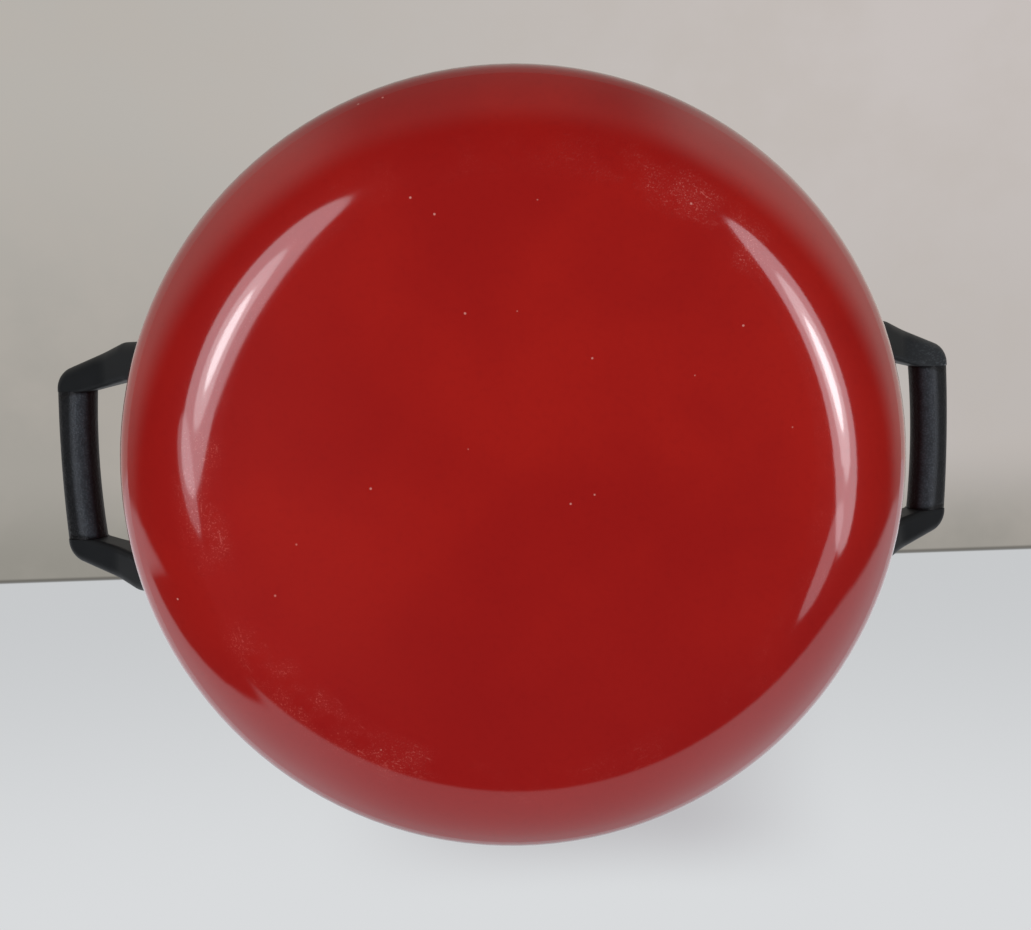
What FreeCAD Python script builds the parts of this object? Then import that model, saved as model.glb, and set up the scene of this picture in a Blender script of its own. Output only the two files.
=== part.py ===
import FreeCAD, Part
import Sketcher
import math
import os

# Round enamelled cooking pot with two fixed loop handles, in millimetres.
# The pot stands on its flat base at z = 0 with its axis on Z. The handles point along +X and -X.
# Each handle is two moulded arms with a textured grip between them, on a steel core bar. A tongue
# on the wall enters the foot of each arm, and a screw from above holds it there.

DRIVING_SIZES = {
    # drawn shell
    "outer_radius": 140.0,
    "pot_height": 122.0,
    "wall": 1.8,
    "knuckle_reach": 41.0,
    "knuckle_height": 28.5,
    "knuckle_wall_blend": 20.0,
    "rim_set_out": 1.1,
    "rim_bead_cover": 0.3,
    # handle, seen from above and from the side
    "handle_incline": 25.0,
    "grip_reach": 37.8,
    "grip_drop": 27.0,
    "grip_length": 61.0,
    "grip_thickness": 14.0,
    "grip_end_extra": 1.0,
    "grip_waist_extra": 0.2,
    "grip_edge_flat": 0.7,
    "grip_bow": 1.4,
    "block_lip": 0.5,
    "block_depth": 7.5,
    "block_flat": 0.57,
    "foot_spread": 11.6,
    "foot_width": 15.0,
    "foot_reach": 10.8,
    "foot_bend_round": 8.0,
    "foot_above": 17.0,
    "foot_below": 24.0,
    "flare_reach": 22.5,
    "flare_round": 20.0,
    "arm_outer_round": 4.5,
    "arm_inner_round": 2.2,
    # steel core, wall bracket, screw and washer
    "core_width": 8.0,
    "core_thickness": 5.0,
    "core_entry": 5.0,
    "pad_thickness": 2.0,
    "pad_margin": 1.5,
    "pad_corner_round": 5.0,
    "tongue_width": 8.0,
    "tongue_thickness": 3.0,
    "tongue_past_screw": 6.0,
    "screw_reach": 6.0,
    "screw_floor": 7.0,
    "screw_radius": 2.0,
    "screw_length": 10.0,
    "screw_head_radius": 3.8,
    "screw_head_height": 2.6,
    "screw_head_round": 1.4,
    "screw_slot_width": 1.1,
    "screw_slot_depth": 1.2,
    "washer_radius": 4.4,
    "washer_thickness": 0.8,
    # clearances
    "slide_gap": 0.15,
    "seat_gap": 0.1,
}


class Size:
    """A number together with the sheet formula that gives it."""

    def __init__(self, number, formula):
        self.number = float(number)
        self.formula = formula

    def __add__(self, other):
        other = as_size(other)
        return Size(self.number + other.number, f"({self.formula} + {other.formula})")

    def __sub__(self, other):
        other = as_size(other)
        return Size(self.number - other.number, f"({self.formula} - {other.formula})")

    def __mul__(self, other):
        other = as_size(other)
        return Size(self.number * other.number, f"({self.formula} * {other.formula})")

    def __truediv__(self, other):
        other = as_size(other)
        return Size(self.number / other.number, f"({self.formula} / {other.formula})")

    def __neg__(self):
        return Size(-self.number, f"(0 - {self.formula})")

    def __rsub__(self, other):
        return as_size(other) - self

    __radd__ = __add__
    __rmul__ = __mul__


def as_size(value):
    return value if isinstance(value, Size) else Size(value, f"{value:.6f}")


def cosine(angle):
    return Size(math.cos(math.radians(angle.number)), f"cos({angle.formula})")


def tangent(angle):
    return Size(math.tan(math.radians(angle.number)), f"tan({angle.formula})")


def root(size):
    return Size(math.sqrt(size.number), f"sqrt({size.formula})")


doc = FreeCAD.newDocument("cooking_pot")
sheet = doc.addObject("Spreadsheet::Sheet", "sizes")
size = {}
for row, (alias, number) in enumerate(DRIVING_SIZES.items(), start=1):
    sheet.set(f"A{row}", alias)
    sheet.set(f"B{row}", str(number))
    sheet.setAlias(f"B{row}", alias)
    size[alias] = Size(number, f"sizes.{alias}")
doc.recompute()

HALF_TURN = FreeCAD.Placement(FreeCAD.Vector(), FreeCAD.Rotation(FreeCAD.Vector(0, 0, 1), 180))
TOUCH = 0.01
SIDES = {"right": (FreeCAD.Placement(), 1), "left": (HALF_TURN, -1)}
ENDS = {"front": -1, "back": 1}
nodes = []


def bind(feature, name, value):
    """Set a property to a size and tie it to the sheet."""
    value = as_size(value)
    if name.count(".") == 0:
        setattr(feature, name, value.number)
    feature.setExpression(name, value.formula)


def new_body(label):
    body = doc.addObject("PartDesign::Body", label)
    body.Label = label
    nodes.append(body)
    return body


def new_sketch(body, name, role):
    sketch = body.newObject("Sketcher::SketchObject", name)
    plane = next(item for item in body.Origin.OriginFeatures if item.Role == role)
    sketch.AttachmentSupport = [(plane, "")]
    sketch.MapMode = "FlatFace"
    return sketch


def hold(sketch, kind, places, value):
    """Add a measured constraint and tie it to the sheet."""
    value = as_size(value)
    index = sketch.addConstraint(Sketcher.Constraint(kind, *places, value.number))
    sketch.setExpression(f"Constraints[{index}]", value.formula)


def add_outline(sketch, corners):
    """Draw a closed outline. A corner is (x, y), or (x, y, radius) where it is rounded."""
    spots = [FreeCAD.Vector(as_size(c[0]).number, as_size(c[1]).number, 0) for c in corners]
    count = len(corners)
    ways = [(spots[(i + 1) % count] - spots[i]).normalize() for i in range(count)]
    marks = []
    ends = []
    arcs = {}
    for i, corner in enumerate(corners):
        mark = sketch.addGeometry(Part.Point(spots[i]), True)
        hold(sketch, "DistanceX", (-1, 1, mark, 1), corner[0])
        hold(sketch, "DistanceY", (-1, 1, mark, 1), corner[1])
        marks.append(mark)
        if len(corner) == 2:
            ends.append((spots[i], spots[i]))
            continue
        before, after = ways[i - 1], ways[i]
        radius = as_size(corner[2])
        turn = before.getAngle(after)
        run = radius.number * math.tan(turn / 2)
        first, last = spots[i] - before * run, spots[i] + after * run
        side = 1 if before.cross(after).z > 0 else -1
        centre = first + FreeCAD.Vector(-before.y, before.x, 0) * (side * radius.number)
        low, high = (first, last) if side > 0 else (last, first)
        start = math.atan2(low.y - centre.y, low.x - centre.x)
        circle = Part.Circle(centre, FreeCAD.Vector(0, 0, 1), radius.number)
        arc = sketch.addGeometry(Part.ArcOfCircle(circle, start, start + turn))
        hold(sketch, "Radius", (arc,), radius)
        arcs[i] = (arc, 1 if side > 0 else 2, 2 if side > 0 else 1)
        ends.append((first, last))
    for i in range(count):
        j = (i + 1) % count
        line = sketch.addGeometry(Part.LineSegment(ends[i][1], ends[j][0]))
        for k, place in ((i, 1), (j, 2)):
            if k in arcs:
                arc, entry, leave = arcs[k]
                touch = leave if place == 1 else entry
                sketch.addConstraint(Sketcher.Constraint("Tangent", line, place, arc, touch))
                sketch.addConstraint(Sketcher.Constraint("PointOnObject", marks[k], 1, line))
            else:
                sketch.addConstraint(Sketcher.Constraint("Coincident", line, place, marks[k], 1))


def add_circle(sketch, x, y, radius):
    centre = FreeCAD.Vector(as_size(x).number, as_size(y).number, 0)
    circle = sketch.addGeometry(Part.Circle(centre, FreeCAD.Vector(0, 0, 1), as_size(radius).number))
    hold(sketch, "DistanceX", (-1, 1, circle, 3), x)
    hold(sketch, "DistanceY", (-1, 1, circle, 3), y)
    hold(sketch, "Radius", (circle,), radius)


def rectangle(low_x, high_x, low_y, high_y, *corner_round):
    return [
        (low_x, low_y, *corner_round),
        (high_x, low_y, *corner_round),
        (high_x, high_y, *corner_round),
        (low_x, high_y, *corner_round),
    ]


def extrude(body, kind, name, sketch, length=None, symmetric=False, flip=False):
    """Pad or pocket a sketch by a length, or through everything where none is given."""
    feature = body.newObject(f"PartDesign::{kind}", name)
    feature.Profile = sketch
    feature.Reversed = flip
    feature.SideType = "Symmetric" if symmetric else "One side"
    if length is None:
        feature.Type = "ThroughAll"
    else:
        bind(feature, "Length", length)
    return feature


def revolve(body, name, sketch):
    feature = body.newObject("PartDesign::Revolution", name)
    feature.Profile = sketch
    feature.ReferenceAxis = (sketch, ["V_Axis"])
    feature.Angle = 360
    return feature


def edge_names(shape, wanted):
    return [f"Edge{i}" for i, edge in enumerate(shape.Edges, start=1) if wanted(edge)]


# Places that several pieces share. The grip's centre line at its ends is the handle's datum.
slope = tangent(size["handle_incline"])
cos_incline = cosine(size["handle_incline"])
sin_incline = slope * cos_incline
grip_x = size["outer_radius"] + size["grip_reach"]
grip_end = size["grip_length"] / 2
grip_level = size["pot_height"] - size["grip_drop"]
grip_end_width = size["grip_thickness"] + size["grip_end_extra"]
foot_middle = grip_end + size["foot_spread"]
foot_in = foot_middle - size["foot_width"] / 2
foot_out = foot_middle + size["foot_width"] / 2
foot_wall_x = root(size["outer_radius"] * size["outer_radius"] - foot_out * foot_out)
root_x = foot_wall_x - size["foot_width"] / 2
flare_x = size["outer_radius"] + size["flare_reach"]
block_half = (size["grip_thickness"] / 2 + size["block_lip"]) / cos_incline
pad_inner = size["outer_radius"] + size["seat_gap"]
pad_outer = pad_inner + size["pad_thickness"]
foot_seat = pad_outer + size["seat_gap"]
core_x = grip_x + size["grip_bow"] / 2 * cos_incline
screw_x = size["outer_radius"] + size["screw_reach"]


def handle_level(x):
    """Height of the handle's sloping middle plane at a distance from the pot's axis."""
    return grip_level + slope * (x - grip_x)


def foot_bottom(x):
    """Height of the flared underside of a foot, between its root and the start of the flare."""
    low = handle_level(root_x) - size["foot_below"]
    high = handle_level(flare_x) - block_half
    return low + (high - low) * (x - root_x) / (flare_x - root_x)


def screw_placement(end, rise):
    """Frame on a screw's axis: Z down the screw, X up the slope, at a rise above the tongue's middle."""
    x = screw_x - rise * sin_incline
    z = handle_level(screw_x) + rise * cos_incline
    spot = FreeCAD.Vector(x.number, foot_middle.number * end, z.number)
    lean = FreeCAD.Rotation(FreeCAD.Vector(0, 1, 0), -size["handle_incline"].number)
    over = FreeCAD.Rotation(FreeCAD.Vector(1, 0, 0), 180)
    return FreeCAD.Placement(spot, lean.multiply(over))


def add_arc(sketch, centre, radius, start, end):
    circle = Part.Circle(FreeCAD.Vector(*centre, 0), FreeCAD.Vector(0, 0, 1), radius)
    return sketch.addGeometry(Part.ArcOfCircle(circle, start, end))


def add_line(sketch, start, end):
    return sketch.addGeometry(Part.LineSegment(FreeCAD.Vector(*start, 0), FreeCAD.Vector(*end, 0)))


def build_pot_body():
    """Drawn shell, turned from its half section: flat base, two-arc knuckle, wall and rolled rim."""
    body = new_body("pot_body")
    radius, rise, wall = size["outer_radius"], size["knuckle_height"], size["wall"]
    flat, blend = radius - size["knuckle_reach"], size["knuckle_wall_blend"]
    bead = wall / 2 + size["rim_set_out"] + size["rim_bead_cover"]
    bead_x = radius - wall / 2 + size["rim_set_out"]
    bead_z = size["pot_height"] - bead

    # The lower arc of the knuckle touches the base, the wall's blend and nothing else.
    across = (radius - blend - flat).number
    fall = (rise - blend).number
    base_blend = (across**2 + rise.number**2 - blend.number**2) / (2 * fall)
    meet = math.atan2(across, base_blend - rise.number)
    down = -math.pi / 2
    low_centre = (flat.number, base_blend)
    high_centre = ((radius - blend).number, rise.number)
    bead_start = -math.acos((radius - bead_x).number / bead.number)
    bead_end = 2 * math.pi - math.acos((radius - wall - bead_x).number / bead.number)
    wall_top = bead_z.number + bead.number * math.sin(bead_start)
    inner_top = bead_z.number + bead.number * math.sin(bead_end)
    inner_x = (radius - wall).number

    section = new_sketch(body, "half_section", "XZ_Plane")
    base = add_line(section, (0, 0), (flat.number, 0))
    low = add_arc(section, low_centre, base_blend, down, down + meet)
    high = add_arc(section, high_centre, blend.number, down + meet, 0)
    outside = add_line(section, (radius.number, rise.number), (radius.number, wall_top))
    rim = add_arc(section, (bead_x.number, bead_z.number), bead.number, bead_start, bead_end)
    inside = add_line(section, (inner_x, inner_top), (inner_x, rise.number))
    inner_high = add_arc(section, high_centre, (blend - wall).number, down + meet, 0)
    inner_low = add_arc(section, low_centre, base_blend - wall.number, down, down + meet)
    floor = add_line(section, (flat.number, wall.number), (0, wall.number))
    axis = add_line(section, (0, wall.number), (0, 0))
    links = [
        ("Coincident", base, 1, -1, 1),
        ("Tangent", base, 2, low, 1),
        ("Tangent", low, 2, high, 1),
        ("Tangent", high, 2, outside, 1),
        ("Coincident", outside, 2, rim, 1),
        ("Coincident", rim, 2, inside, 1),
        ("Tangent", inside, 2, inner_high, 2),
        ("Tangent", inner_high, 1, inner_low, 2),
        ("Tangent", inner_low, 1, floor, 1),
        ("Coincident", floor, 2, axis, 1),
        ("Coincident", axis, 2, base, 1),
        ("Coincident", inner_high, 3, high, 3),
        ("Coincident", inner_low, 3, low, 3),
        ("Horizontal", base),
        ("Vertical", outside),
        ("Vertical", inside),
        ("Horizontal", floor),
        ("Vertical", axis),
    ]
    section.addConstraint([Sketcher.Constraint(*link) for link in links])
    hold(section, "DistanceX", (-1, 1, base, 2), flat)
    hold(section, "DistanceX", (-1, 1, outside, 1), radius)
    hold(section, "DistanceY", (-1, 1, outside, 1), rise)
    hold(section, "DistanceX", (-1, 1, inside, 1), radius - wall)
    hold(section, "DistanceX", (-1, 1, rim, 3), bead_x)
    hold(section, "DistanceY", (-1, 1, rim, 3), bead_z)
    hold(section, "Radius", (rim,), bead)
    hold(section, "Radius", (high,), blend)
    revolve(body, "turned_shell", section)


def build_arm(label, end, placement):
    """Moulded arm: its plan outline is padded upright, then cut to the rising side outline."""
    body = new_body(label)
    block_reach = (grip_end_width / 2 + size["block_lip"]) * cos_incline
    block_end = grip_end + size["block_depth"]
    bend_x = size["outer_radius"] + size["foot_reach"]
    run_in = grip_x + block_reach - bend_x
    run_out = foot_out - block_end
    slant = root(run_in * run_in + run_out * run_out)
    block_round = (size["block_depth"] - size["block_flat"]) * (slant + run_out) / run_in
    corners = [
        (grip_x + block_reach, grip_end),
        (grip_x + block_reach, block_end, block_round),
        (bend_x, foot_out, size["foot_bend_round"]),
        (root_x, foot_out),
        (root_x, foot_in),
        (bend_x, foot_in, size["foot_bend_round"]),
        (grip_x - block_reach, grip_end),
    ]
    plan = new_sketch(body, "plan_outline", "XY_Plane")
    add_outline(plan, [(c[0], c[1] * end, *c[2:]) for c in corners])
    extrude(body, "Pad", "arm_blank", plan, size["pot_height"])

    beyond = grip_x + block_reach + size["foot_width"]
    buried = root_x - size["foot_width"]
    foot_top = handle_level(root_x) + size["foot_above"]
    side = new_sketch(body, "side_outline", "XZ_Plane")
    add_outline(
        side,
        [
            (beyond, handle_level(beyond) - block_half),
            (beyond, handle_level(beyond) + block_half),
            (flare_x, handle_level(flare_x) + block_half, size["flare_round"]),
            (buried, foot_top),
            (buried, foot_bottom(buried)),
            (flare_x, handle_level(flare_x) - block_half, size["flare_round"]),
        ],
    )
    margin = size["pot_height"]
    add_outline(side, rectangle(buried - margin, beyond + margin, -margin, margin * 2))
    shaped = extrude(body, "Pocket", "side_cut", side, symmetric=True)
    doc.recompute()

    def on_outer_side(spot):
        run = max(0.0, (spot.x - bend_x.number) / (grip_x - bend_x).number)
        return abs(spot.y) > foot_middle.number + run * (grip_end - foot_middle).number / 2

    def rounded_edge(edge, outer):
        box = edge.BoundBox
        on_seat = box.YLength < TOUCH and abs(abs(box.YMin) - grip_end.number) < TOUCH
        return box.XLength > TOUCH and not on_seat and on_outer_side(edge.CenterOfMass) == outer

    for name, radius, outer in (
        ("outer_edges", size["arm_outer_round"], True),
        ("inner_edges", size["arm_inner_round"], False),
    ):
        names = edge_names(shaped.Shape, lambda edge: rounded_edge(edge, outer))
        rounding = body.newObject("PartDesign::Fillet", name)
        rounding.Base = (shaped, names)
        bind(rounding, "Radius", radius)
        doc.recompute()
        shaped = rounding

    cut_arm_sockets(body, end)
    seat = body.newObject("PartDesign::SubtractiveCylinder", "wall_seat")
    bind(seat, "Radius", foot_seat)
    bind(seat, "Height", size["pot_height"])
    body.Placement = placement


def cut_arm_sockets(body, end):
    """Blind socket for the core bar, slot for the tongue, and the screw's stepped hole from above."""
    gap = size["slide_gap"]
    socket = core_section(body, "core_socket_outline", grip_end * -end, gap)
    extrude(body, "Pocket", "core_socket", socket, size["core_entry"] + gap, flip=end < 0)

    slot = new_sketch(body, "tongue_slot_outline", "XZ_Plane")
    turn_in_plane(slot, screw_x, handle_level(screw_x), foot_middle * -end)
    tip = size["tongue_past_screw"] + gap
    thickness = size["tongue_thickness"] / 2 + gap
    add_outline(slot, rectangle(-size["outer_radius"], tip, -thickness, thickness))
    extrude(body, "Pocket", "tongue_slot", slot, size["tongue_width"] + gap * 2, symmetric=True)

    past_tongue = size["screw_length"] - size["screw_floor"] - size["washer_thickness"] + gap
    steps = [
        ("screw_hole", size["screw_radius"] + gap, -past_tongue),
        ("head_recess", size["washer_radius"] + gap, size["screw_floor"]),
    ]
    for name, radius, rise in steps:
        circle = new_sketch(body, f"{name}_outline", "XY_Plane")
        circle.AttachmentOffset = screw_placement(end, rise)
        add_circle(circle, 0, 0, radius)
        extrude(body, "Pocket", name, circle)


def turn_in_plane(sketch, x, z, depth):
    """Move a sketch within the XZ plane and along its normal, and turn it to the handle's slope."""
    angle = size["handle_incline"]
    sketch.AttachmentOffset = FreeCAD.Placement(
        FreeCAD.Vector(x.number, z.number, depth.number),
        FreeCAD.Rotation(FreeCAD.Vector(0, 0, 1), angle.number),
    )
    bind(sketch, "AttachmentOffset.Base.x", x)
    bind(sketch, "AttachmentOffset.Base.y", z)
    bind(sketch, "AttachmentOffset.Base.z", depth)
    bind(sketch, "AttachmentOffset.Rotation.Angle", angle)


def core_section(body, name, depth, gap):
    sketch = new_sketch(body, name, "XZ_Plane")
    turn_in_plane(sketch, core_x, handle_level(core_x), depth)
    width, thickness = size["core_width"] / 2 + gap, size["core_thickness"] / 2 + gap
    add_outline(sketch, rectangle(-width, width, -thickness, thickness))
    return sketch


def build_grip(label, placement):
    """Bowed grip sleeve: a loft from end to waist to end, with a slot for the core bar."""
    body = new_body(label)
    sections = []
    stations = [
        ("front_section", grip_end, grip_end_width, 0),
        ("waist_section", 0, size["grip_thickness"] + size["grip_waist_extra"], size["grip_bow"]),
        ("back_section", -grip_end, grip_end_width, 0),
    ]
    for name, depth, width, bow in stations:
        section = new_sketch(body, name, "XZ_Plane")
        x = grip_x + bow * cos_incline
        turn_in_plane(section, x, handle_level(x), as_size(depth))
        half_width, half_thickness = width / 2, size["grip_thickness"] / 2
        spans = (-half_width, half_width, -half_thickness, half_thickness)
        add_outline(section, rectangle(*spans, half_thickness - size["grip_edge_flat"]))
        sections.append(section)
    loft = body.newObject("PartDesign::AdditiveLoft", "sleeve")
    loft.Profile = sections[0]
    loft.Sections = sections[1:]
    slot = core_section(body, "core_slot_outline", as_size(0), size["slide_gap"])
    extrude(body, "Pocket", "core_slot", slot, symmetric=True)
    body.Placement = placement


def build_core(label, placement):
    """Flat steel bar through the grip, with its ends in the blocks' sockets."""
    body = new_body(label)
    section = core_section(body, "bar_section", as_size(0), as_size(0))
    extrude(body, "Pad", "bar", section, size["grip_length"] + size["core_entry"] * 2, symmetric=True)
    body.Placement = placement


def solid(kind, name, placement=None, **sizes):
    item = doc.addObject(f"Part::{kind}", name)
    for key, value in sizes.items():
        bind(item, key, value)
    if placement is not None:
        item.Placement = placement
    return item


def combine(kind, name, first, second):
    item = doc.addObject(f"Part::{kind}", name)
    item.Base = first
    item.Tool = second
    return item


def build_bracket(label, end, placement):
    """Wall bracket: a rounded pad that follows the wall, with a drilled tongue along the slope."""
    margin = size["pad_margin"]
    low = foot_bottom(foot_wall_x) - margin
    high = handle_level(root_x) + size["foot_above"] + margin * 2
    near = foot_middle * end - size["foot_width"] / 2 - margin
    block = solid(
        "Box", f"{label}_block",
        Length=size["outer_radius"], Width=size["foot_width"] + margin * 2, Height=high - low,
    )
    bind(block, "Placement.Base.x", size["outer_radius"] / 2)
    bind(block, "Placement.Base.y", near)
    bind(block, "Placement.Base.z", low)
    doc.recompute()
    rounded = doc.addObject("Part::Fillet", f"{label}_rounded")
    rounded.Base = block
    corner = size["pad_corner_round"].number
    rounded.Edges = [
        (i, corner, corner)
        for i, edge in enumerate(block.Shape.Edges, start=1)
        if edge.BoundBox.XLength > TOUCH
    ]
    outside = solid("Cylinder", f"{label}_outside", Radius=pad_outer, Height=size["pot_height"])
    inside = solid("Cylinder", f"{label}_inside", Radius=pad_inner, Height=size["pot_height"])
    pad = combine("Common", f"{label}_pad", rounded, outside)
    length = size["outer_radius"] / 2 + size["tongue_past_screw"]
    frame = screw_placement(end, as_size(0))
    corner_spot = FreeCAD.Vector(
        size["tongue_past_screw"].number - length.number,
        -size["tongue_width"].number / 2,
        -size["tongue_thickness"].number / 2,
    )
    tongue = solid(
        "Box", f"{label}_tongue", frame.multiply(FreeCAD.Placement(corner_spot, FreeCAD.Rotation())),
        Length=length, Width=size["tongue_width"], Height=size["tongue_thickness"],
    )
    hole = solid(
        "Cylinder", f"{label}_hole", screw_placement(end, size["tongue_thickness"]),
        Radius=size["screw_radius"] + size["seat_gap"], Height=size["tongue_thickness"] * 2,
    )
    joined = combine("Fuse", f"{label}_joined", pad, tongue)
    hollow = combine("Cut", f"{label}_hollow", joined, inside)
    bracket = combine("Cut", label, hollow, hole)
    bracket.Label = label
    bracket.Placement = placement
    nodes.append(bracket)


def build_screw(label, end, placement):
    """Slotted pan-head screw, head up, with its shank down through the foot and the tongue."""
    body = new_body(label)
    head, shank = size["screw_head_radius"], size["screw_radius"]
    top, length = size["screw_head_height"], size["screw_length"]
    profile = new_sketch(body, "screw_profile", "XZ_Plane")
    head_edge = (head, -top, size["screw_head_round"])
    add_outline(profile, [(0, -top), head_edge, (head, 0), (shank, 0), (shank, length), (0, length)])
    revolve(body, "turned_screw", profile)
    slot = new_sketch(body, "slot_outline", "XY_Plane")
    slot.AttachmentOffset = FreeCAD.Placement(FreeCAD.Vector(0, 0, -top.number), FreeCAD.Rotation())
    bind(slot, "AttachmentOffset.Base.z", -top)
    half = size["screw_slot_width"] / 2
    add_outline(slot, rectangle(-head * 2, head * 2, -half, half))
    extrude(body, "Pocket", "driver_slot", slot, size["screw_slot_depth"], flip=True)
    rise = size["screw_floor"] + size["washer_thickness"]
    body.Placement = placement.multiply(screw_placement(end, rise))


def build_washer(label, end, placement):
    """Flat washer between the screw's head and the floor of its recess."""
    disc = solid("Cylinder", f"{label}_disc", Radius=size["washer_radius"], Height=size["washer_thickness"])
    bore = solid("Cylinder", f"{label}_bore", Radius=size["screw_radius"] + size["slide_gap"],
                 Height=size["washer_thickness"])
    washer = combine("Cut", label, disc, bore)
    washer.Label = label
    rise = size["screw_floor"] + size["washer_thickness"]
    washer.Placement = placement.multiply(screw_placement(end, rise))
    nodes.append(washer)


build_pot_body()
for side_name, (side_placement, facing) in SIDES.items():
    build_grip(f"{side_name}_grip", side_placement)
    build_core(f"{side_name}_core_bar", side_placement)
    for end_name, end_sign in ENDS.items():
        corner_name = f"{side_name}_{end_name}"
        build_arm(f"{corner_name}_arm", end_sign * facing, side_placement)
        build_bracket(f"{corner_name}_bracket", end_sign * facing, side_placement)
        build_screw(f"{corner_name}_screw", end_sign * facing, side_placement)
        build_washer(f"{corner_name}_washer", end_sign * facing, side_placement)

doc.recompute()
for item in doc.Objects:
    if "Invalid" in item.State or "Error" in item.State:
        raise RuntimeError(f"{item.Label} failed: {item.State}")
os.makedirs("parts", exist_ok=True)
for node in nodes:
    if node.Shape.isNull() or not node.Shape.isValid():
        raise RuntimeError(f"{node.Label} has no valid shape")
for node in nodes:
    node.Shape.exportStep(f"parts/{node.Label}.step")
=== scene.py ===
import math

import bpy
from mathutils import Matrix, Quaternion, Vector

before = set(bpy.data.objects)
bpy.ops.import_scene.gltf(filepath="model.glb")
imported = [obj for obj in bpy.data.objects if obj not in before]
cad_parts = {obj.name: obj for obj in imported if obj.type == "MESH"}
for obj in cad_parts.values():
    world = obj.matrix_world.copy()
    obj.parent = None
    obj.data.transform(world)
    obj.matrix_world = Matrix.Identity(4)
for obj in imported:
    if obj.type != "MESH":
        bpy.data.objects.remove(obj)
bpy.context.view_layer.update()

# Pot body: a deep round shell drawn from one steel blank, with a flat base, a soft knuckle and a
# rolled rim. It is fired with glossy red enamel outside and pale speckled enamel inside, and the
# base edge carries the scuffs and pinholes of use.


class Shade:
    """A value in a shader: reckoning with it adds Math nodes to the same shader."""

    def __init__(self, tree, socket):
        self.tree = tree
        self.socket = socket

    @classmethod
    def node(cls, tree, kind, settings, sockets, output=0):
        made = tree.nodes.new("ShaderNode" + kind)
        for name, value in settings.items():
            setattr(made, name, value)
        for key, value in sockets.items():
            if isinstance(value, Shade):
                tree.links.new(value.socket, made.inputs[key])
            else:
                made.inputs[key].default_value = value
        return cls(tree, made.outputs[output])

    def outlets(self, *places):
        """Other values that the same node gives, by number or name."""
        return [Shade(self.tree, self.socket.node.outputs[place]) for place in places]

    def maths(self, operation, first, second=0.0):
        return Shade.node(self.tree, "Math", {"operation": operation}, {0: first, 1: second})

    def __add__(self, other):
        return self.maths("ADD", self, other)

    def __sub__(self, other):
        return self.maths("SUBTRACT", self, other)

    def __rsub__(self, other):
        return self.maths("SUBTRACT", other, self)

    def __mul__(self, other):
        return self.maths("MULTIPLY", self, other)

    def __truediv__(self, other):
        return self.maths("DIVIDE", self, other)

    def __pow__(self, other):
        return self.maths("POWER", self, other)

    def __gt__(self, other):
        return self.maths("GREATER_THAN", self, other)

    __radd__ = __add__

    def fade(self, low, high):
        """0 below low, 1 above high, with a smooth step between; low may be above high."""
        return Shade.node(
            self.tree, "MapRange", {"interpolation_type": "SMOOTHSTEP"},
            {"Value": self, "From Min": low, "From Max": high},
        )


def tone(red, green, blue):
    """A colour as it is seen, turned into the light it gives back."""
    return tuple(
        v / 12.92 if v <= 0.04045 else ((v + 0.055) / 1.055) ** 2.4
        for v in (red / 255, green / 255, blue / 255)
    ) + (1.0,)


def new_finish(name):
    """An empty material with its shader, and the place on the piece in metres."""
    material = bpy.data.materials.new(name)
    material.use_nodes = True
    tree = material.node_tree
    shader = tree.nodes["Principled BSDF"]
    place = Shade.node(tree, "TexCoord", {}, {}, "Object")
    return material, tree, shader, place


def mix(tree, factor, first, second):
    return Shade.node(
        tree, "Mix", {"data_type": "RGBA"}, {0: factor, 6: first, 7: second}, 2
    )


def noise(tree, place, scale, detail=2.0, roughness=0.5):
    return Shade.node(
        tree, "TexNoise", {},
        {"Vector": place, "Scale": scale, "Detail": detail, "Roughness": roughness},
    )


def bump(tree, height, strength, distance):
    return Shade.node(
        tree, "Bump", {}, {"Height": height, "Strength": strength, "Distance": distance}
    )


def feed(tree, shader, **sockets):
    """Link values that change over a surface, and set those that are the same all over."""
    for name, value in sockets.items():
        socket = shader.inputs[name.replace("_", " ")]
        if isinstance(value, Shade):
            tree.links.new(value.socket, socket)
        else:
            socket.default_value = value


def dress(material, *endings):
    """Give a finish to every piece whose name has one of these endings."""
    for name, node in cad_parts.items():
        if name.endswith(endings):
            node.material_slots[0].material = material


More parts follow.
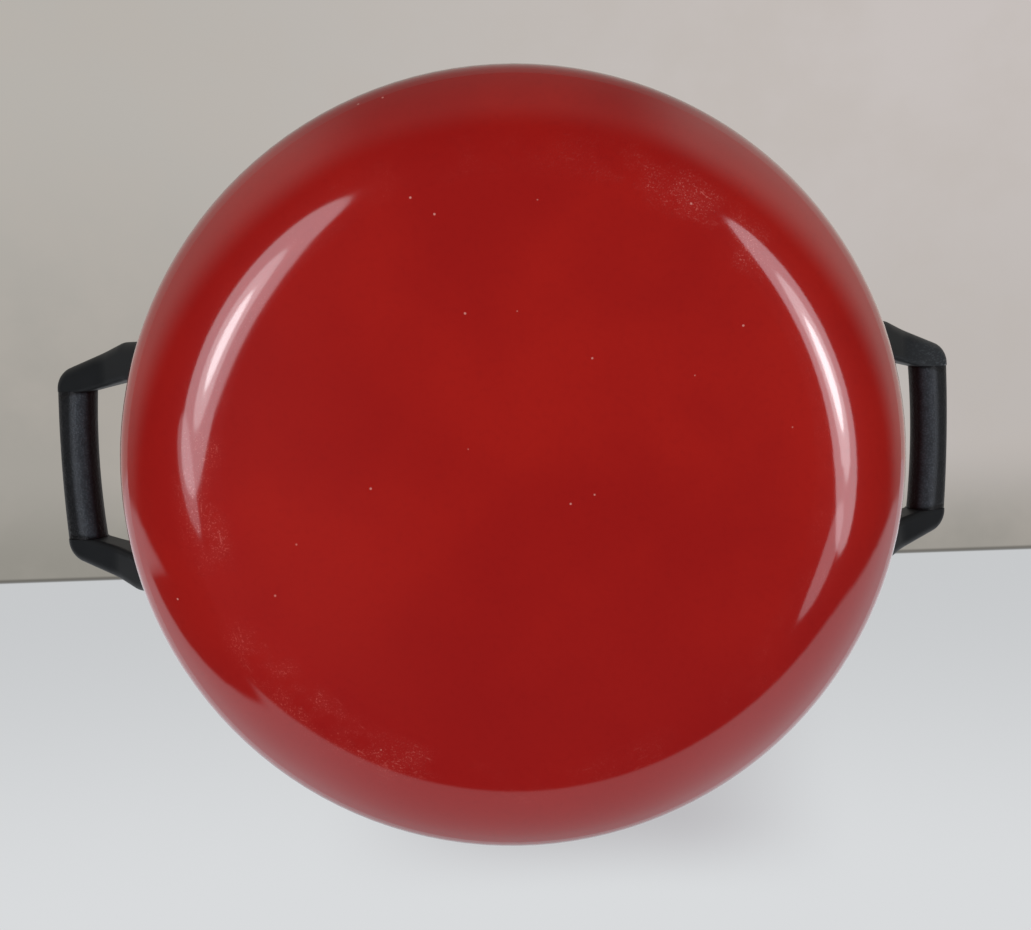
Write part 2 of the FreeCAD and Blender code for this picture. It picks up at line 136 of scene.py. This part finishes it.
def make_enamel():
    material, tree, shader, place = new_finish("red_enamel")
    x, y, z = Shade.node(tree, "SeparateXYZ", {}, {0: place}).outlets(0, 1, 2)
    radius = (x * x + y * y) ** 0.5

    # The fired glass is a little uneven in depth of colour.
    clouds = noise(tree, place, scale=14.0, detail=3.0)
    grain = noise(tree, place, scale=420.0, detail=2.0)
    red = mix(tree, clouds.fade(0.35, 0.68), tone(145, 21, 18), tone(155, 25, 19))
    # The half of the pot towards +y is painted a darker red, as painted shade.
    red = mix(tree, y.fade(0.0, 0.1) * 0.6, red, tone(138, 21, 21))
    red = mix(tree, grain.fade(0.45, 0.8) * 0.2, red, tone(130, 17, 17))

    # Pinholes and dust specks, a few to a hand's breadth.
    specks = Shade.node(tree, "TexVoronoi", {}, {"Vector": place, "Scale": 120.0})
    chance = Shade.node(tree, "SeparateColor", {}, {0: specks.outlets("Color")[0]})
    speck = specks.fade(0.062, 0.03) * (chance > 0.88)
    red = mix(tree, speck * 0.6, red, tone(214, 150, 140))

    # The base edge is rubbed by the stove: pale dust and fine scratches that run round it, most of
    # all on three stretches.
    angle = y.maths("ARCTAN2", y, x)
    round_edge = Shade.node(
        tree, "CombineXYZ", {}, {0: angle * 16.0, 1: radius * 700.0, 2: z * 700.0}
    )
    strokes = noise(tree, round_edge, scale=1.0, detail=4.0, roughness=0.65).fade(0.60, 0.72)
    dust = noise(tree, place, scale=1500.0, detail=3.0, roughness=0.7).fade(0.54, 0.70)
    patches = noise(tree, place, scale=42.0, detail=3.0, roughness=0.6).fade(0.42, 0.62)
    rubbed = patches * 0.18
    stretches_in_degrees = ((131.0, 26.0), (-57.0, 20.0), (178.0, 13.0))
    for bearing, half_width in stretches_in_degrees:
        middle = math.radians(bearing)
        towards = (x * math.cos(middle) + y * math.sin(middle)) / radius
        limit = math.cos(math.radians(half_width))
        rubbed = rubbed + towards.fade(limit, limit + (1.0 - limit) * 0.7) * patches
    edge_ring = radius.fade(0.096, 0.103) * radius.fade(0.118, 0.108)
    edge = edge_ring * z.fade(0.016, 0.008)
    scuff = (0.05 + strokes * 0.65 + dust * 0.75) * rubbed * edge
    red = mix(tree, scuff * 0.95, red, tone(194, 96, 88))

    # Pale enamel inside: its faces look back towards the middle of the pot.
    pot_middle = (0.0, 0.0, 0.07)
    from_middle = Shade.node(
        tree, "VectorMath", {"operation": "SUBTRACT"}, {0: place, 1: pot_middle}
    )
    facing = Shade.node(tree, "TexCoord", {}, {}, "Normal")
    outward = Shade.node(
        tree, "VectorMath", {"operation": "DOT_PRODUCT"}, {0: from_middle, 1: facing}, "Value"
    )
    inside = outward.fade(0.001, -0.001)
    flecks = Shade.node(tree, "TexVoronoi", {}, {"Vector": place, "Scale": 260.0})
    pale = mix(tree, clouds.fade(0.3, 0.7), tone(222, 217, 204), tone(230, 226, 215))
    pale = mix(tree, flecks.fade(0.16, 0.05) * 0.35, pale, tone(120, 112, 100))
    colour = mix(tree, inside, red, pale)

    peel = noise(tree, place, scale=230.0, detail=2.0)
    waves = noise(tree, place, scale=34.0, detail=1.0)
    relief = peel * 0.12 + waves + scuff * -0.2
    feed(
        tree, shader,
        Base_Color=colour,
        Roughness=0.34 + clouds * 0.08 + scuff * 0.3,
        Normal=bump(tree, relief, strength=0.3, distance=0.0005),
        Specular_IOR_Level=0.03,
        Coat_Weight=1.0,
        Coat_Roughness=0.075,
        Coat_IOR=1.6,
    )
    return material


red_enamel = make_enamel()
dress(red_enamel, "pot_body")

# Wall brackets: pressed steel pads with a tongue, welded to the shell before firing, so the same
# red enamel covers them. Only the edge of each pad shows around the foot of its arm.
dress(red_enamel, "_bracket")

# Core bars, screws and washers: plain zinc-plated steel. The bars hide inside the grips, and the
# screw heads sit in recesses on top of the feet.


def make_steel():
    material, tree, shader, place = new_finish("zinc_steel")
    drawn = Shade.node(tree, "Mapping", {}, {"Vector": place, "Scale": (900.0, 60.0, 900.0)})
    lines = noise(tree, drawn, scale=1.0, detail=3.0)
    spangle = noise(tree, place, scale=500.0, detail=2.0)
    feed(
        tree, shader,
        Base_Color=mix(tree, spangle, tone(150, 152, 156), tone(188, 189, 192)),
        Metallic=1.0,
        Roughness=0.3 + lines * 0.18,
        Normal=bump(tree, lines, strength=0.15, distance=0.0001),
    )
    return material


dress(make_steel(), "_core_bar", "_screw", "_washer")

# Handle arms: moulded in black heat-proof resin, matte, each with a foot on the wall and a
# rounded corner block. The mould leaves a faint satin grain, and use has rubbed it lighter here and
# there.


def make_arm_resin():
    material, tree, shader, place = new_finish("black_arm")
    clouds = noise(tree, place, scale=60.0, detail=3.0)
    fine = noise(tree, place, scale=1400.0, detail=2.0)
    rubbed = noise(tree, place, scale=150.0, detail=4.0, roughness=0.7).fade(0.62, 0.78)
    black = mix(tree, clouds, tone(21, 23, 24), tone(29, 31, 33))
    black = mix(tree, rubbed * 0.3, black, tone(46, 48, 50))

    # One corner of the right handle has been knocked, and fine pale scrapes run along it. Round the
    # corner the resin is also painted paler as a painted sheen, with a painted glint at its tip.
    corner = (0.1832, -0.0302, 0.0915)
    away = Shade.node(
        tree, "VectorMath", {"operation": "DISTANCE"}, {0: place, 1: corner}, "Value"
    )
    drawn = Shade.node(tree, "Mapping", {}, {"Vector": place, "Scale": (260.0, 1500.0, 1500.0)})
    scrapes_and_sheen = noise(tree, drawn, scale=1.0, detail=3.0).fade(0.5, 0.68)
    # Painted sheen round the corner, streaked by the scrapes.
    black = mix(tree, away.fade(0.034, 0.008) * (0.3 + scrapes_and_sheen * 0.5), black, tone(68, 72, 75))
    # A pale scrape on the corner itself, painted bright as a glint.
    black = mix(tree, away.fade(0.005, 0.001) * scrapes_and_sheen, black, tone(128, 131, 133))
    feed(
        tree, shader,
        Base_Color=black,
        Roughness=0.44 + clouds * 0.12 - rubbed * 0.08,
        Normal=bump(tree, fine, strength=0.2, distance=0.0001),
        Specular_IOR_Level=0.15,
    )
    return material


dress(make_arm_resin(), "_arm")

# Grips: black resin sleeves between the corner blocks, held on the core bars. Their mould is
# etched with a fine leathery grain, and a soft bluish sheen is painted on as a painted highlight.


def make_grip_resin():
    material, tree, shader, place = new_finish("black_grip")
    cells = Shade.node(tree, "TexVoronoi", {}, {"Vector": place, "Scale": 1150.0})
    pebbles = cells.fade(0.0, 0.75)
    drift = noise(tree, place, scale=320.0, detail=3.0)
    wear = noise(tree, place, scale=45.0, detail=3.0)
    black = mix(tree, drift, tone(8, 10, 12), tone(17, 20, 24))

    # The underside, on the side towards the pot, is painted paler as a painted highlight.
    x, y = Shade.node(tree, "SeparateXYZ", {}, {0: place}).outlets(0, 1)
    facing = Shade.node(tree, "TexCoord", {}, {}, "Normal")
    face_x, face_z = Shade.node(tree, "SeparateXYZ", {}, {0: facing}).outlets(0, 2)
    side = x.maths("SIGN", x)
    painted_highlight = (face_z * -0.94 - face_x * side * 0.34).fade(0.72, 1.0)
    black = mix(tree, painted_highlight * (0.35 + drift * 0.65), black, tone(80, 87, 94))
    black = mix(tree, pebbles * 0.45, black, tone(7, 7, 9))

    # The mould closes on a slanting line at each end: a groove, painted dark as painted shade
    # where the grip meets the corner blocks.
    from_middle = y.maths("ABSOLUTE", y)
    grip_axis, slant = 0.1778, 0.18
    painted_shade_seam = (from_middle + (x * side - grip_axis) * slant).fade(0.0281, 0.0296)
    black = mix(tree, painted_shade_seam * 0.9, black, tone(4, 4, 5))
    feed(
        tree, shader,
        Base_Color=black,
        Roughness=0.40 + drift * 0.16 + wear * 0.08,
        Normal=bump(tree, drift * 0.6 - pebbles - painted_shade_seam * 2.0, strength=0.5, distance=0.00018),
        Specular_IOR_Level=0.3,
    )
    return material


dress(make_grip_resin(), "_grip")

# Studio: a pale floor under the pot, seen only from above, a pale room around it, and oval lamps,
# most of them below it on both sides. The photograph looks at the base from below, where the room
# shows a grey wall and a white table top.
FLOOR_RADIUS = 6.0
FLOOR_HEIGHT = -0.0005
bpy.ops.object.select_all(action="DESELECT")
bpy.ops.mesh.primitive_circle_add(
    vertices=96, radius=FLOOR_RADIUS, fill_type="NGON", location=(0.0, 0.0, FLOOR_HEIGHT)
)
floor = bpy.context.object
floor.name = "floor"
bpy.ops.object.transform_apply(location=True, rotation=True, scale=True)


def make_floor_paint():
    material = bpy.data.materials.new("floor_paint")
    material.use_nodes = True
    tree = material.node_tree
    tree.nodes.remove(tree.nodes["Principled BSDF"])

    # It is painted darker where the pot stands close above it, as a painted contact shadow.
    open_sky = Shade.node(tree, "AmbientOcclusion", {"samples": 8}, {"Distance": 0.16}, "AO")
    paint = mix(tree, open_sky.fade(0.1, 1.0), tone(140, 138, 138), tone(222, 222, 222))
    pale = Shade.node(tree, "Emission", {}, {"Color": paint})

    # It is clear from below, and thins out into the room far from the pot.
    clear = Shade.node(tree, "BsdfTransparent", {}, {})
    place = Shade.node(tree, "TexCoord", {}, {}, "Object")
    length = Shade.node(tree, "VectorMath", {"operation": "LENGTH"}, {0: place}, "Value")
    camera_ray = Shade.node(tree, "LightPath", {}, {}, "Is Camera Ray")
    back = Shade.node(tree, "NewGeometry", {}, {}, "Backfacing")
    seen = camera_ray * length.fade(3.5, 1.2) * (1.0 - back)
    blend = Shade.node(tree, "MixShader", {}, {0: seen, 1: clear, 2: pale})
    tree.links.new(blend.socket, tree.nodes["Material Output"].inputs["Surface"])
    return material


floor.data.materials.append(make_floor_paint())
floor.visible_shadow = False
floor.visible_diffuse = False

world = bpy.data.worlds.new("room")
bpy.context.scene.world = world
world.use_nodes = True


def paint_room(tree):
    way = Shade.node(tree, "TexCoord", {}, {}, "Generated")
    x, y, z = Shade.node(tree, "SeparateXYZ", {}, {0: way}).outlets(0, 1, 2)

    # Which side of the line where the wall meets the table, and how far from it.
    line_normal = (-0.0029, 0.9792, -0.2030)
    below = Shade.node(
        tree, "VectorMath", {"operation": "DOT_PRODUCT"}, {0: way, 1: line_normal}, "Value"
    )
    # The wall is painted paler towards the top and the right and darker just above the table, and
    # the table paler further from the wall: painted light and shade.
    lower = below.fade(-0.42, -0.12)
    left_wall = mix(tree, lower, tone(182, 178, 172), tone(164, 160, 153))
    right_wall = mix(tree, lower, tone(199, 192, 189), tone(189, 183, 179))
    wall = mix(tree, x.fade(-0.40, 0.42), left_wall, right_wall)
    wall = mix(tree, below.fade(-0.10, -0.005) * 0.8, wall, tone(142, 139, 131))
    plaster = noise(tree, way, scale=9.0, detail=4.0, roughness=0.6)
    wall = mix(tree, plaster.fade(0.35, 0.7) * 0.3, wall, tone(186, 178, 170))
    table = mix(tree, below.fade(0.0, 0.28), tone(199, 201, 203), tone(217, 219, 221))
    shadow = below.fade(0.29, 0.22) * x.fade(-0.16, 0.06) * x.fade(0.32, 0.16)
    table = mix(tree, shadow * 0.8, table, tone(182, 180, 183))
    ahead = mix(tree, below.fade(-0.0012, 0.0012), wall, table)
    # A painted shade line darkens the crease where wall and table meet.
    painted_shade_seam = below.fade(-0.0035, -0.001) * below.fade(0.0015, 0.0)
    ahead = mix(tree, painted_shade_seam * 0.7, ahead, tone(84, 82, 78))

    # Wall and table lie above the open pot only; to all other sides the room is plain.
    seen = mix(tree, z.fade(0.45, 0.65), tone(222, 222, 222), ahead)

    # What the enamel mirrors: a dark room behind the camera, pale walls on both sides, duller ones
    # straight above, and the near part of the table with a dark patch on its left.
    aside = mix(tree, x.fade(-0.3, 0.4), tone(197, 193, 187), tone(222, 218, 211))
    above = (x * x).fade(0.34, 0.10) * z.fade(1.3, 0.0)
    walls = mix(tree, above, aside, tone(131, 127, 122))
    mirrored = mix(tree, (z - y * 0.8).fade(-0.15, 0.42), tone(30, 29, 28), walls)
    sideways = x.maths("ABSOLUTE", x)
    flank = sideways.fade(0.72, 0.93)
    front_edge = z.maths("MINIMUM", z, 0.0) * -0.9
    side_edge = 0.17 + x * 0.04 - z * 0.51
    table_edge = (1.0 - flank) * front_edge + flank * side_edge
    near_table = (y - table_edge).fade(0.09, 0.15) * below.fade(-0.02, 0.02)
    dark_patch = (z + x * 1.85).fade(-1.541, -1.601) * x.fade(-0.58, -0.64) * y.fade(0.31, 0.37)
    table_top = mix(tree, (x * x).fade(0.0, 0.3), tone(206, 209, 213), tone(238, 241, 246))
    mirrored = mix(tree, near_table * (1.0 - dark_patch), mirrored, table_top)

    # The camera sees one picture, glossy faces mirror the other, and all else gets a soft light
    # that is stronger from the table's side.
    camera_ray = Shade.node(tree, "LightPath", {}, {}, "Is Camera Ray")
    glossy_ray = camera_ray.outlets("Is Glossy Ray")[0]
    ambient = mix(tree, y.fade(-0.7, 0.7), tone(112, 112, 112), tone(162, 162, 162))
    room = mix(tree, camera_ray, ambient, seen)
    room = mix(tree, glossy_ray, room, mirrored)
    tree.links.new(room.socket, tree.nodes["Background"].inputs["Color"])


paint_room(world.node_tree)

LAMP_DISTANCE = 1.2
SKY = (0.95, 0.93, 1.0)
CLOUD = (0.93, 0.97, 1.0)
WHITE = (1.0, 1.0, 1.0)


def add_lamp(name, bearing, lean, size, twist, watts, tint=WHITE, shown=True):
    """An oval lamp at a bearing round the base and a lean from straight below it, in degrees."""
    lamp = bpy.data.lights.new(name, "AREA")
    lamp.shape = "ELLIPSE"
    lamp.size, lamp.size_y = size
    lamp.energy = watts
    lamp.color = tint
    item = bpy.data.objects.new(name, lamp)
    bpy.context.scene.collection.objects.link(item)
    across, round_base = math.radians(lean), math.radians(bearing)
    way = Vector((
        math.sin(across) * math.cos(round_base),
        -math.sin(across) * math.sin(round_base),
        -math.cos(across),
    ))
    aim = way.to_track_quat("Z", "Y") @ Quaternion((0.0, 0.0, 1.0), math.radians(twist))
    item.location = way * LAMP_DISTANCE
    item.rotation_euler = aim.to_euler()
    item.visible_camera = False
    item.visible_glossy = shown


add_lamp(
    "left_window", bearing=160.5, lean=35.5, size=(0.94, 0.54), twist=-23.0,
    watts=4.0, tint=SKY,
)
add_lamp(
    "left_middle_pane", bearing=161.0, lean=35.2, size=(0.52, 0.26), twist=-23.0,
    watts=1.0, tint=CLOUD,
)
add_lamp(
    "left_bright_pane", bearing=161.5, lean=35.0, size=(0.28, 0.12), twist=-23.0,
    watts=0.7, tint=CLOUD,
)
add_lamp(
    "right_window", bearing=5.0, lean=44.2, size=(1.06, 0.42), twist=24.0,
    watts=3.8, tint=SKY,
)
add_lamp(
    "right_middle_pane", bearing=6.5, lean=43.7, size=(0.60, 0.22), twist=24.0,
    watts=1.2, tint=CLOUD,
)
add_lamp(
    "right_bright_pane", bearing=7.0, lean=43.5, size=(0.32, 0.11), twist=24.0,
    watts=0.9, tint=CLOUD,
)
add_lamp(
    "left_low_pane", bearing=185.5, lean=46.5, size=(0.43, 0.19), twist=38.0,
    watts=0.32, tint=SKY,
)
add_lamp(
    "right_low_pane", bearing=-24.5, lean=46.0, size=(0.33, 0.22), twist=-22.0,
    watts=0.31, tint=SKY,
)
add_lamp(
    "front_fill", bearing=205.0, lean=30.0, size=(0.9, 0.9), twist=0.0,
    watts=4.1, shown=False,
)
add_lamp(
    "ceiling_panel", bearing=60.0, lean=165.0, size=(1.2, 1.2), twist=0.0,
    watts=14.0, shown=False,
)

# Camera: held in front of the base, a little below and beside the pot's axis, as the photograph
# was taken.
lens = bpy.data.cameras.new("camera")
lens.sensor_width = 36.0
lens.lens = 37.0126
lens.clip_start = 0.01
camera = bpy.data.objects.new("camera", lens)
bpy.context.scene.collection.objects.link(camera)
camera.location = (-0.015650, -0.042915, -0.349882)
camera.rotation_euler = tuple(math.radians(v) for v in (173.77093, 2.40396, 1.64959))
bpy.context.scene.camera = camera
bpy.context.scene.view_settings.view_transform = "Standard"
